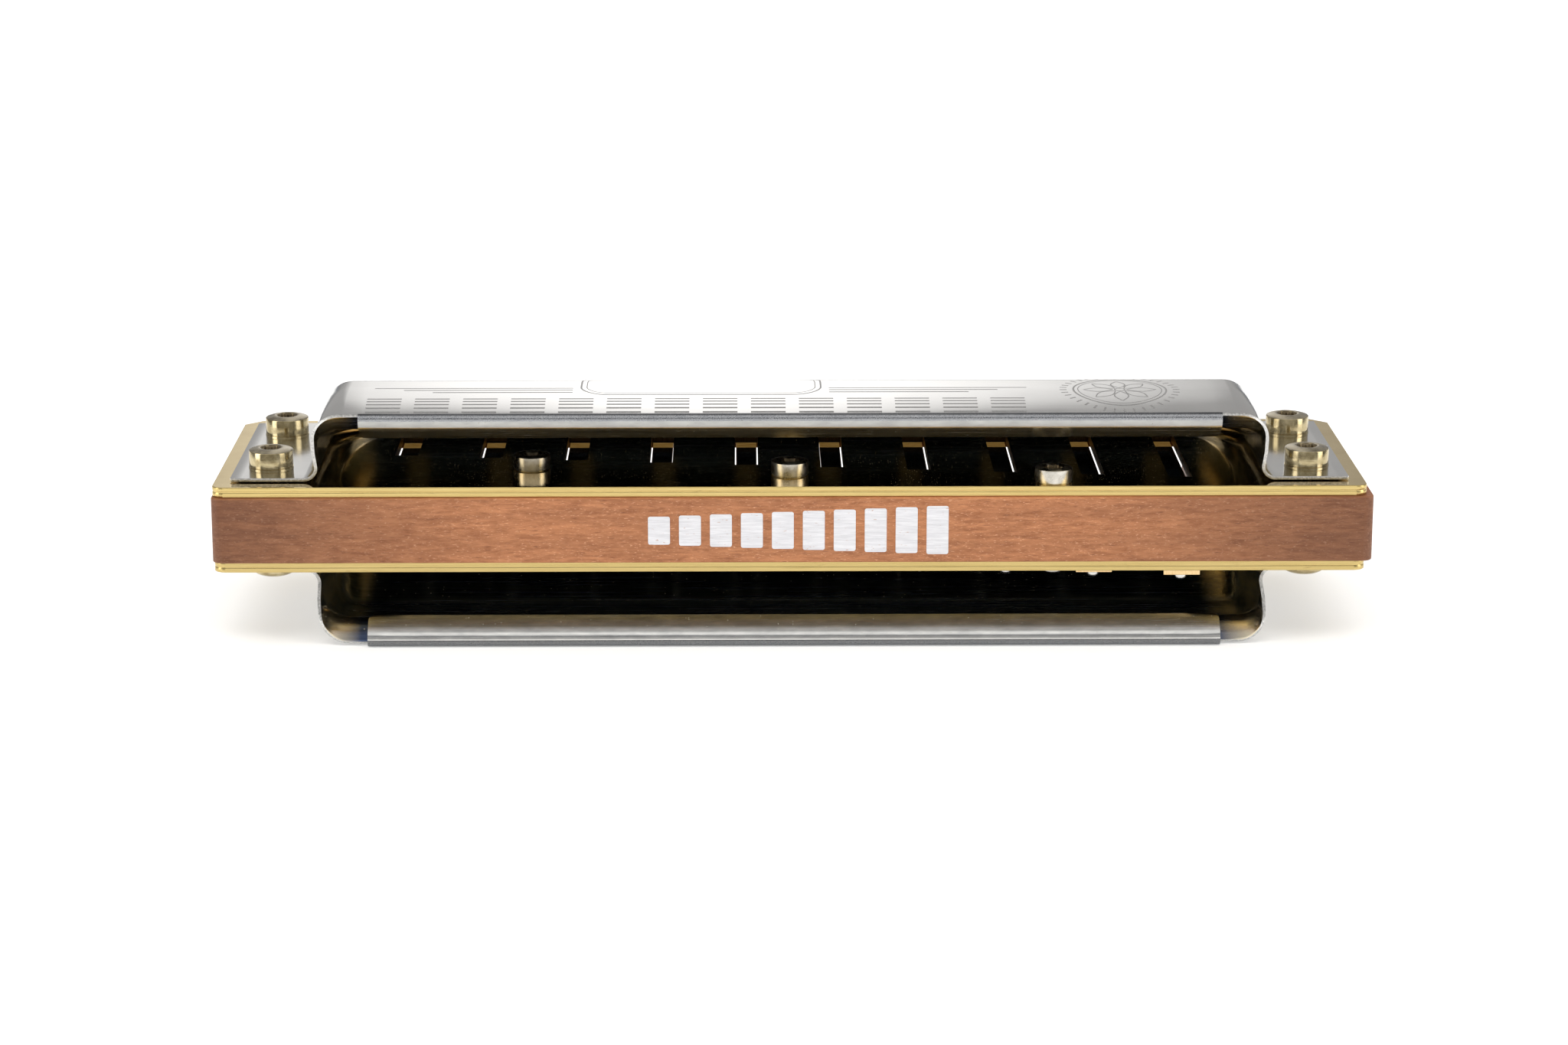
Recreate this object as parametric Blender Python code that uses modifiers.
"""A ten-hole diatonic harmonica: wooden comb, two brass reed plates, two folded steel covers.

Metres. +X runs along the instrument towards its low notes, +Y points at the player's mouth
and +Z is up. The origin is on the surface that the lower cover rests on, under the middle.
"""

import math

import bmesh
import bpy
from mathutils import Matrix, Vector

MM = 0.001
GAP = 0.02 * MM  # left between two pieces that touch

# Holes. Hole 1, the lowest note, is at the +X end.
HOLE_COUNT = 10
HOLE_PITCH = 7.59 * MM
CHANNEL_WIDTH = 5.5 * MM
CHANNEL_PAST_SLOT = 0.8 * MM

# Comb
COMB_LENGTH = 100.6 * MM
COMB_HEIGHT = 5.8 * MM
COMB_REAR_Y = -13.3 * MM
COMB_FRONT_Y = 13.6 * MM
COMB_REAR_EDGE_R = 0.9 * MM
COMB_FRONT_EDGE_R = 2.4 * MM

# Reed plates
PLATE_LENGTH = 100.2 * MM
PLATE_REAR_Y = -12.9 * MM
PLATE_FRONT_Y = 13.1 * MM
PLATE_THICKNESS = 0.9 * MM
PLATE_REAR_CORNER_R = 1.0 * MM
PLATE_FRONT_CORNER_CUT = 1.5 * MM

# Reeds. The blow reeds hang under the upper plate with their tips to the rear, the draw reeds
# hang under the lower plate with their tips to the front.
BLOW_ROOT_Y = 7.9 * MM
BLOW_TIP_Y_FIRST = -9.5 * MM  # rear end of the slot of hole 1
BLOW_TIP_Y_STEP = 0.955 * MM
DRAW_TIP_Y = 7.9 * MM
DRAW_ROOT_BEFORE_BLOW_TIP = 0.1 * MM
SLOT_WIDTH = 2.05 * MM
SLOT_UNDER_FOOT = 0.2 * MM
REED_SIDE_GAP = 0.09 * MM
REED_END_GAP = 0.06 * MM
REED_THICKNESS = 0.28 * MM
REED_OFF_PLATE = 0.04 * MM
FOOT_WIDTH = 3.2 * MM
FOOT_LENGTH = 2.8 * MM
FOOT_THICKNESS = 0.5 * MM
RIVET_HEAD_R = 0.62 * MM
RIVET_HEAD_HEIGHT = 0.75 * MM
RIVET_SHANK_R = 0.45 * MM

# Covers. Heights are measured from the middle of the comb.
SHEET = 0.35 * MM
COVER_GAP = 0.04 * MM
COVER_RISE = 10.4 * MM
COVER_HALF_LENGTH = 48.65 * MM
FLANGE_REAR_Y = -11.1 * MM
COVER_FRONT_Y = 10.4 * MM
FLANGE_CORNER_R = 1.0 * MM
WALL_FOOT_X = 41.25 * MM
WALL_TOP_X = 41.3 * MM
WALL_FOOT_R = 1.0 * MM
WALL_TOP_R = 2.8 * MM
NOSE_CORNER_R = 6.0 * MM
HEM_HALF_LENGTH = 37.5 * MM
HEM_BEND_Y = -13.1 * MM
HEM_BEND_Z = 9.88 * MM
HEM_BEND_R = 0.5 * MM
HEM_BEND_START = 47.0  # degrees, where the flared sheet runs into the bend
HEM_BEND_END = 215.0
HEM_FLAP = [(-13.1, 9.02), (-12.5, 8.45), (-11.75, 7.95)]  # mm, behind and below the bend
# The top of the cover at mid length, in mm from the flared rear edge to the nose. The two
# points at 10.4 are a flat band, which the instrument rests on.
CROWN = [
    (-12.76, 10.25),
    (-11.9, 9.44),
    (-11.15, 8.85),
    (-10.2, 8.75),
    (-8.9, 9.6),
    (-6.9, 10.15),
    (-3.7, 10.4),
    (0.0, 10.4),
    (2.3, 9.85),
    (4.7, 9.0),
    (7.0, 7.75),
    (8.8, 6.2),
    (10.0, 4.85),
    (10.4, 4.0),
]

# Fasteners
COVER_SCREW_X = 45.55 * MM
COVER_SCREW_YS = (-6.7 * MM, 6.1 * MM)
COVER_SCREW_HEAD_R = 1.95 * MM
COVER_SCREW_HEAD_HEIGHT = 1.75 * MM
COVER_SCREW_R = 0.95 * MM
NUT_BARREL_R = 1.35 * MM
NUT_BARREL_LENGTH = 1.2 * MM
NUT_HEAD_HEIGHT = 1.45 * MM
PLATE_SCREW_PLACES = (
    (0.0, -8.35 * MM),
    (-22.7 * MM, -5.9 * MM),
    (22.9 * MM, -11.1 * MM),
)
PLATE_SCREW_HEAD_R = 1.65 * MM
PLATE_SCREW_HEAD_HEIGHT = 1.35 * MM
PLATE_SCREW_R = 0.85 * MM
PLATE_SCREW_PAST_PLATE = 0.5 * MM
BORE_CLEARANCE = 0.1 * MM
THREAD_CLEARANCE = 0.03 * MM
TURNED_STEPS = 16
BORE_SIDES = 16
RIVET_STEPS = 10

MID_Z = COVER_RISE
COMB_HALF = COMB_HEIGHT / 2
PLATE_FACE = COMB_HALF + PLATE_THICKNESS  # outer face of a plate, from the comb's middle
FLANGE_FACE = PLATE_FACE + COVER_GAP + SHEET


def clear_scene():
    for obj in list(bpy.data.objects):
        bpy.data.objects.remove(obj, do_unlink=True)


def new_collection(name):
    collection = bpy.data.collections.new(name)
    bpy.context.scene.collection.children.link(collection)
    return collection


def new_material(name, colour, metallic, roughness):
    material = bpy.data.materials.new(name)
    material.use_nodes = True
    shader = material.node_tree.nodes["Principled BSDF"]
    shader.inputs["Base Color"].default_value = (*colour, 1.0)
    shader.inputs["Metallic"].default_value = metallic
    shader.inputs["Roughness"].default_value = roughness
    return material


def mesh_from(bm, name):
    bmesh.ops.recalc_face_normals(bm, faces=bm.faces)
    mesh = bpy.data.meshes.new(name)
    bm.to_mesh(mesh)
    bm.free()
    return mesh


def add_part(name, mesh, material, place=(0, 0, 0)):
    obj = bpy.data.objects.new(name, mesh)
    if not mesh.materials:
        mesh.materials.append(material)
    obj.location = place
    PARTS.objects.link(obj)
    return obj


def add_cutter(name, bm):
    obj = bpy.data.objects.new(name, mesh_from(bm, name))
    obj.hide_render = True
    obj.display_type = "WIRE"
    CUTTERS.objects.link(obj)
    return obj


def cut(obj, cutter):
    boolean = obj.modifiers.new("Cut " + cutter.name, "BOOLEAN")
    boolean.operation = "DIFFERENCE"
    boolean.object = cutter


def add_box(bm, low, high):
    """A box between two corners; returns its vertices."""
    low, high = Vector(low), Vector(high)
    size = Matrix.Diagonal((*(high - low), 1.0))
    return bmesh.ops.create_cube(bm, matrix=Matrix.Translation((low + high) / 2) @ size)["verts"]


def add_bore(bm, x, y, low, high, radius):
    bmesh.ops.create_cone(
        bm,
        cap_ends=True,
        segments=BORE_SIDES,
        radius1=radius,
        radius2=radius,
        depth=high - low,
        matrix=Matrix.Translation((x, y, (low + high) / 2)),
    )


def bevel_upright_edges(bm, at_y, size, segments):
    """Rounds, or with one segment clips, a slab's upright edges that lie at this y."""
    edges = []
    for edge in bm.edges:
        a, b = (vert.co for vert in edge.verts)
        if a.xy == b.xy and abs(a.y - at_y) < GAP:
            edges.append(edge)
    bmesh.ops.bevel(
        bm, geom=edges, offset=size, segments=segments, profile=0.5, affect="EDGES"
    )


def turned_mesh(name, profile):
    """An open profile of (radius, height) points, run down the outer side."""
    mesh = bpy.data.meshes.new(name)
    points = [(radius, 0, height) for radius, height in profile]
    mesh.from_pydata(points, [(i, i + 1) for i in range(len(points) - 1)], [])
    return mesh


def turn(obj, steps=TURNED_STEPS):
    screw = obj.modifiers.new("Turn", "SCREW")
    screw.axis = "Z"
    screw.steps = steps
    screw.render_steps = steps
    screw.use_merge_vertices = True
    screw.merge_threshold = 0.01 * MM
    screw.use_smooth_shade = True


def evaluated_mesh(obj):
    graph = bpy.context.evaluated_depsgraph_get()
    return bpy.data.meshes.new_from_object(obj.evaluated_get(graph))


# ---------------------------------------------------------------- holes and reeds


def hole_x(hole):
    return ((HOLE_COUNT + 1) / 2 - hole) * HOLE_PITCH


def blow_tip_y(hole):
    """The rear end of the blow slot, where the tip of the blow reed swings."""
    return BLOW_TIP_Y_FIRST + BLOW_TIP_Y_STEP * (hole - 1)


def draw_root_y(hole):
    return blow_tip_y(hole) - DRAW_ROOT_BEFORE_BLOW_TIP


def holes():
    return range(1, HOLE_COUNT + 1)


# ---------------------------------------------------------------- comb


def make_comb(material):
    height = COMB_HALF - GAP
    bm = bmesh.new()
    add_box(
        bm,
        (-COMB_LENGTH / 2, COMB_REAR_Y, -height),
        (COMB_LENGTH / 2, COMB_FRONT_Y, height),
    )
    bevel_upright_edges(bm, COMB_REAR_Y, COMB_REAR_EDGE_R, 2)
    bevel_upright_edges(bm, COMB_FRONT_Y, COMB_FRONT_EDGE_R, 3)
    comb = add_part("comb", mesh_from(bm, "comb"), material, (0, 0, MID_Z))

    bm = bmesh.new()
    for hole in holes():
        left, right = hole_x(hole) - CHANNEL_WIDTH / 2, hole_x(hole) + CHANNEL_WIDTH / 2
        rear = blow_tip_y(hole) - CHANNEL_PAST_SLOT
        add_box(bm, (left, rear, -COMB_HEIGHT), (right, COMB_FRONT_Y + MM, COMB_HEIGHT))
    for x, y in PLATE_SCREW_PLACES:
        add_bore(bm, x, y, -COMB_HEIGHT, COMB_HEIGHT, PLATE_SCREW_R + BORE_CLEARANCE)
    for x, y in cover_screw_places():
        add_bore(bm, x, y, -COMB_HEIGHT, COMB_HEIGHT, COVER_SCREW_R + BORE_CLEARANCE)
    cutter = add_cutter("comb_channels", bm)
    cutter.location.z = MID_Z
    cut(comb, cutter)


# ---------------------------------------------------------------- reed plates


def cover_screw_places():
    return [(side * COVER_SCREW_X, y) for side in (-1, 1) for y in COVER_SCREW_YS]


def make_plate(name, middle_z, slot_ends, rivet_y, screw_bore, cover_bore, material):
    """slot_ends and rivet_y give the places that belong to a hole number."""
    half = PLATE_THICKNESS / 2
    bm = bmesh.new()
    add_box(
        bm,
        (-PLATE_LENGTH / 2, PLATE_REAR_Y, -half),
        (PLATE_LENGTH / 2, PLATE_FRONT_Y, half),
    )
    bevel_upright_edges(bm, PLATE_REAR_Y, PLATE_REAR_CORNER_R, 3)
    bevel_upright_edges(bm, PLATE_FRONT_Y, PLATE_FRONT_CORNER_CUT, 1)
    plate = add_part(name, mesh_from(bm, name), material, (0, 0, middle_z))

    bm = bmesh.new()
    for hole in holes():
        rear, front = slot_ends(hole)
        add_box(
            bm,
            (hole_x(hole) - SLOT_WIDTH / 2, rear, -PLATE_THICKNESS),
            (hole_x(hole) + SLOT_WIDTH / 2, front, PLATE_THICKNESS),
        )
        rivet_bore = RIVET_SHANK_R + THREAD_CLEARANCE
        add_bore(bm, hole_x(hole), rivet_y(hole), -PLATE_THICKNESS, PLATE_THICKNESS, rivet_bore)
    for x, y in PLATE_SCREW_PLACES:
        add_bore(bm, x, y, -PLATE_THICKNESS, PLATE_THICKNESS, screw_bore)
    for x, y in cover_screw_places():
        add_bore(bm, x, y, -PLATE_THICKNESS, PLATE_THICKNESS, cover_bore)
    cutter = add_cutter(name + "_slots", bm)
    cutter.location.z = middle_z
    cut(plate, cutter)


def make_plates(material):
    middle = COMB_HALF + PLATE_THICKNESS / 2
    make_plate(
        "upper_reed_plate",
        MID_Z + middle,
        lambda hole: (blow_tip_y(hole), BLOW_ROOT_Y + SLOT_UNDER_FOOT),
        lambda hole: BLOW_ROOT_Y + FOOT_LENGTH / 2,
        PLATE_SCREW_R + BORE_CLEARANCE,
        COVER_SCREW_R + BORE_CLEARANCE,
        material,
    )
    make_plate(
        "lower_reed_plate",
        MID_Z - middle,
        lambda hole: (draw_root_y(hole) - SLOT_UNDER_FOOT, DRAW_TIP_Y),
        lambda hole: draw_root_y(hole) - FOOT_LENGTH / 2,
        PLATE_SCREW_R + THREAD_CLEARANCE,
        NUT_BARREL_R + BORE_CLEARANCE,
        material,
    )


# ---------------------------------------------------------------- reeds


def make_foot_mesh():
    """A reed's foot with its rivet. Height 0 is the face of the plate that it is riveted to."""
    bm = bmesh.new()
    add_box(
        bm,
        (-FOOT_WIDTH / 2, -FOOT_LENGTH / 2, -GAP - FOOT_THICKNESS),
        (FOOT_WIDTH / 2, FOOT_LENGTH / 2, -GAP),
    )
    pad = bpy.data.objects.new("foot_pad", mesh_from(bm, "foot_pad"))
    CUTTERS.objects.link(pad)
    under = -GAP - FOOT_THICKNESS
    profile = [
        (0, PLATE_THICKNESS - GAP),
        (RIVET_SHANK_R, PLATE_THICKNESS - GAP),
        (RIVET_SHANK_R, under + FOOT_THICKNESS / 2),
        (RIVET_HEAD_R, under + FOOT_THICKNESS / 2),
        (RIVET_HEAD_R, under - RIVET_HEAD_HEIGHT / 2),
        (0.6 * RIVET_HEAD_R, under - RIVET_HEAD_HEIGHT),
        (0, under - RIVET_HEAD_HEIGHT),
    ]
    rivet = bpy.data.objects.new("foot_rivet", turned_mesh("foot_rivet", profile))
    CUTTERS.objects.link(rivet)
    turn(rivet, RIVET_STEPS)
    union = pad.modifiers.new("Rivet", "BOOLEAN")
    union.operation = "UNION"
    union.object = rivet
    mesh = evaluated_mesh(pad)
    mesh.name = "reed_foot"
    for helper in (pad, rivet):
        bpy.data.objects.remove(helper, do_unlink=True)
    return mesh


def make_reed(name, foot_name, root, length, plate_face_z, materials, foot_mesh):
    """One riveted foot and its tongue, which runs from the root for a signed length along Y."""
    x, root_y = root
    away = math.copysign(1.0, length)
    foot_place = (x, root_y - away * FOOT_LENGTH / 2, plate_face_z)
    add_part(foot_name, foot_mesh, materials["foot"], foot_place)
    near = away * REED_END_GAP
    far = length - away * REED_END_GAP
    half = SLOT_WIDTH / 2 - REED_SIDE_GAP
    bm = bmesh.new()
    add_box(
        bm,
        (-half, min(near, far), -REED_THICKNESS / 2),
        (half, max(near, far), REED_THICKNESS / 2),
    )
    middle_z = plate_face_z - REED_OFF_PLATE - REED_THICKNESS / 2
    add_part(name, mesh_from(bm, name), materials["reed"], (x, root_y, middle_z))


def make_reeds(materials):
    foot_mesh = make_foot_mesh()
    for hole in holes():
        make_reed(
            f"blow_reed_{hole:02d}",
            f"blow_reed_foot_{hole:02d}",
            (hole_x(hole), BLOW_ROOT_Y),
            blow_tip_y(hole) - BLOW_ROOT_Y,
            MID_Z + COMB_HALF,
            materials,
            foot_mesh,
        )
        make_reed(
            f"draw_reed_{hole:02d}",
            f"draw_reed_foot_{hole:02d}",
            (hole_x(hole), draw_root_y(hole)),
            DRAW_TIP_Y - draw_root_y(hole),
            MID_Z - PLATE_FACE,
            materials,
            foot_mesh,
        )


# ---------------------------------------------------------------- covers


def arc(centre, radius, start, end, steps):
    """Points on an arc from start to end degrees, both ends included."""
    angles = [math.radians(start + (end - start) * i / steps) for i in range(steps + 1)]
    return [
        (centre[0] + radius * math.cos(a), centre[1] + radius * math.sin(a)) for a in angles
    ]


def wall_section():
    """(x, share of the cover's height) from the flange's edge over the end wall to the middle."""
    top = COVER_RISE
    height = top - FLANGE_FACE
    foot_centre = (WALL_FOOT_X + WALL_FOOT_R, FLANGE_FACE + WALL_FOOT_R)
    top_centre = (WALL_TOP_X - WALL_TOP_R, top - WALL_TOP_R)
    points = [
        (COVER_HALF_LENGTH, FLANGE_FACE),
        (COVER_HALF_LENGTH - FLANGE_CORNER_R, FLANGE_FACE),
        *arc(foot_centre, WALL_FOOT_R, -90, -180, 3),
        *arc(top_centre, WALL_TOP_R, 0, 90, 4),
        (HEM_HALF_LENGTH, top),
        (0.0, top),
    ]
    return [(x, (z - FLANGE_FACE) / height) for x, z in points]


def nose_inset(y):
    """How far the end wall has drawn in towards the middle, round the nose's corner in plan."""
    into = y - (COVER_FRONT_Y - NOSE_CORNER_R)
    if into <= 0:
        return 0.0
    return NOSE_CORNER_R - math.sqrt(max(NOSE_CORNER_R**2 - into**2, 0.0))


def cover_point(crown_y, crown_z, x, share):
    """A point of the cover's outer face. The rear edge leans forward on its way down."""
    rear_y, front_y = CROWN[0][0] * MM, COVER_FRONT_Y
    along = (crown_y - rear_y) / (front_y - rear_y)
    flange_y = FLANGE_REAR_Y + along * (front_y - FLANGE_REAR_Y)
    y = flange_y + (crown_y - flange_y) * share
    z = FLANGE_FACE + (crown_z - FLANGE_FACE) * share
    on_flange = x > WALL_FOOT_X + WALL_FOOT_R
    if x > 0 and not on_flange:
        x -= nose_inset(crown_y)
    return Vector((x, y, z))


def hem_points():
    """(y, z) round the rolled rear edge, from the flared sheet to the end of the flap."""
    bend = arc((HEM_BEND_Y, HEM_BEND_Z), HEM_BEND_R, HEM_BEND_START, HEM_BEND_END, 5)
    return bend[1:] + [(y * MM, z * MM) for y, z in HEM_FLAP]


def make_cover_mesh():
    """Half of the cover's outer face: a loft over the crown, with the hem drawn on behind."""
    bm = bmesh.new()
    section = wall_section()
    rows = []
    for crown_y, crown_z in CROWN:
        row = [cover_point(crown_y * MM, crown_z * MM, x, share) for x, share in section]
        rows.append([bm.verts.new(point) for point in row])
    hem_columns = rows[0][-2:]
    hem_rows = [hem_columns]
    for y, z in hem_points():
        hem_rows.append([bm.verts.new((vert.co.x, y, z)) for vert in hem_columns])
    for grid in (rows, hem_rows):
        for near, far in zip(grid, grid[1:]):
            for i in range(len(near) - 1):
                bm.faces.new((near[i], near[i + 1], far[i + 1], far[i]))
    round_flange_corners(bm)
    bmesh.ops.recalc_face_normals(bm, faces=bm.faces)
    if max(bm.faces, key=lambda face: face.calc_center_median().z).normal.z < 0:
        bmesh.ops.reverse_faces(bm, faces=bm.faces)
    mesh = bpy.data.meshes.new("cover_sheet")
    bm.to_mesh(mesh)
    bm.free()
    return mesh


def round_flange_corners(bm):
    corners = []
    for vert in bm.verts:
        at_end = abs(vert.co.x - COVER_HALF_LENGTH) < GAP
        at_side = min(abs(vert.co.y - FLANGE_REAR_Y), abs(vert.co.y - COVER_FRONT_Y)) < GAP
        if at_end and at_side:
            corners.append(vert)
    bmesh.ops.bevel(
        bm, geom=corners, offset=FLANGE_CORNER_R, segments=2, profile=0.5, affect="VERTICES"
    )


def make_cover(name, mesh, upside_down, bore, material):
    """The lower cover is the upper one turned over about the comb's Y axis."""
    turned_over = math.pi if upside_down else 0.0
    cover = add_part(name, mesh, material, (0, 0, MID_Z))
    cover.rotation_euler.y = turned_over
    mirror = cover.modifiers.new("Other half", "MIRROR")
    mirror.merge_threshold = 0.01 * MM
    sheet = cover.modifiers.new("Sheet", "SOLIDIFY")
    sheet.thickness = SHEET
    sheet.offset = -1
    sheet.use_even_offset = True
    bm = bmesh.new()
    for x, y in cover_screw_places():
        add_bore(bm, x, y, FLANGE_FACE - 2 * SHEET, FLANGE_FACE + SHEET, bore)
    cutter = add_cutter(name + "_bores", bm)
    cutter.location.z = MID_Z
    cutter.rotation_euler.y = turned_over
    cut(cover, cutter)


# ---------------------------------------------------------------- fasteners


def make_cover_screws(material):
    """Round heads on the upper flange. The shank ends inside the nut below."""
    base = FLANGE_FACE + GAP
    top = base + COVER_SCREW_HEAD_HEIGHT
    radius = COVER_SCREW_HEAD_R
    end = -FLANGE_FACE - 0.2 * MM
    profile = [
        (0, top - 1.0 * MM),
        (0.55 * radius, top - 1.0 * MM),
        (0.58 * radius, top),
        (0.8 * radius, top - 0.1 * MM),
        (radius, top - 0.4 * MM),
        (radius, base),
        (COVER_SCREW_R, base),
        (COVER_SCREW_R, end + 0.3 * MM),
        (0.7 * COVER_SCREW_R, end),
        (0, end),
    ]
    mesh = turned_mesh("cover_screw", profile)
    for number, (x, y) in enumerate(cover_screw_places(), 1):
        turn(add_part(f"cover_screw_{number}", mesh, material, (x, y, MID_Z)))


def make_cover_nuts(material):
    """A domed head under the lower flange, with a threaded barrel that stands up into the plate."""
    top = -FLANGE_FACE - GAP
    bore = COVER_SCREW_R + THREAD_CLEARANCE
    radius = COVER_SCREW_HEAD_R
    profile = [
        (0, top - 0.35 * MM),
        (bore, top - 0.35 * MM),
        (bore, top + NUT_BARREL_LENGTH),
        (NUT_BARREL_R, top + NUT_BARREL_LENGTH),
        (NUT_BARREL_R, top),
        (radius, top),
        (radius, top - 0.55 * NUT_HEAD_HEIGHT),
        (0.8 * radius, top - 0.85 * NUT_HEAD_HEIGHT),
        (0.4 * radius, top - NUT_HEAD_HEIGHT),
        (0, top - NUT_HEAD_HEIGHT),
    ]
    mesh = turned_mesh("cover_nut", profile)
    for number, (x, y) in enumerate(cover_screw_places(), 1):
        turn(add_part(f"cover_nut_{number}", mesh, material, (x, y, MID_Z)))


def make_plate_screws(material):
    """Pan heads on the upper plate. The shanks run through the comb into the lower plate."""
    base = PLATE_FACE + GAP
    top = base + PLATE_SCREW_HEAD_HEIGHT
    radius = PLATE_SCREW_HEAD_R
    end = -PLATE_FACE - PLATE_SCREW_PAST_PLATE
    profile = [
        (0, top - 0.8 * MM),
        (0.55 * radius, top - 0.8 * MM),
        (0.58 * radius, top),
        (0.8 * radius, top - 0.08 * MM),
        (radius, top - 0.35 * MM),
        (radius, base),
        (PLATE_SCREW_R, base),
        (PLATE_SCREW_R, end + 0.25 * MM),
        (0.7 * PLATE_SCREW_R, end),
        (0, end),
    ]
    mesh = turned_mesh("reed_plate_screw", profile)
    for number, (x, y) in enumerate(PLATE_SCREW_PLACES, 1):
        turn(add_part(f"reed_plate_screw_{number}", mesh, material, (x, y, MID_Z)))


# ---------------------------------------------------------------- assembly


def main():
    brass = new_material("plate_brass", (0.72, 0.55, 0.26), 1.0, 0.28)
    steel = new_material("cover_steel", (0.72, 0.72, 0.74), 1.0, 0.18)
    wood = new_material("comb_wood", (0.42, 0.17, 0.09), 0.0, 0.6)
    screw_metal = new_material("screw_metal", (0.74, 0.66, 0.48), 1.0, 0.22)
    nickel = new_material("plate_screw_metal", (0.75, 0.73, 0.68), 1.0, 0.22)
    reed = new_material("reed_brass", (0.78, 0.56, 0.28), 1.0, 0.25)
    foot = new_material("foot_brass", (0.80, 0.60, 0.32), 1.0, 0.3)

    make_comb(wood)
    make_plates(brass)
    make_reeds({"reed": reed, "foot": foot})
    cover_mesh = make_cover_mesh()
    make_cover("upper_cover", cover_mesh, False, COVER_SCREW_R + BORE_CLEARANCE, steel)
    make_cover("lower_cover", cover_mesh, True, NUT_BARREL_R + BORE_CLEARANCE, steel)
    make_cover_screws(screw_metal)
    make_cover_nuts(screw_metal)
    make_plate_screws(nickel)


clear_scene()
PARTS = new_collection("harmonica")
CUTTERS = new_collection("cutters")
main()
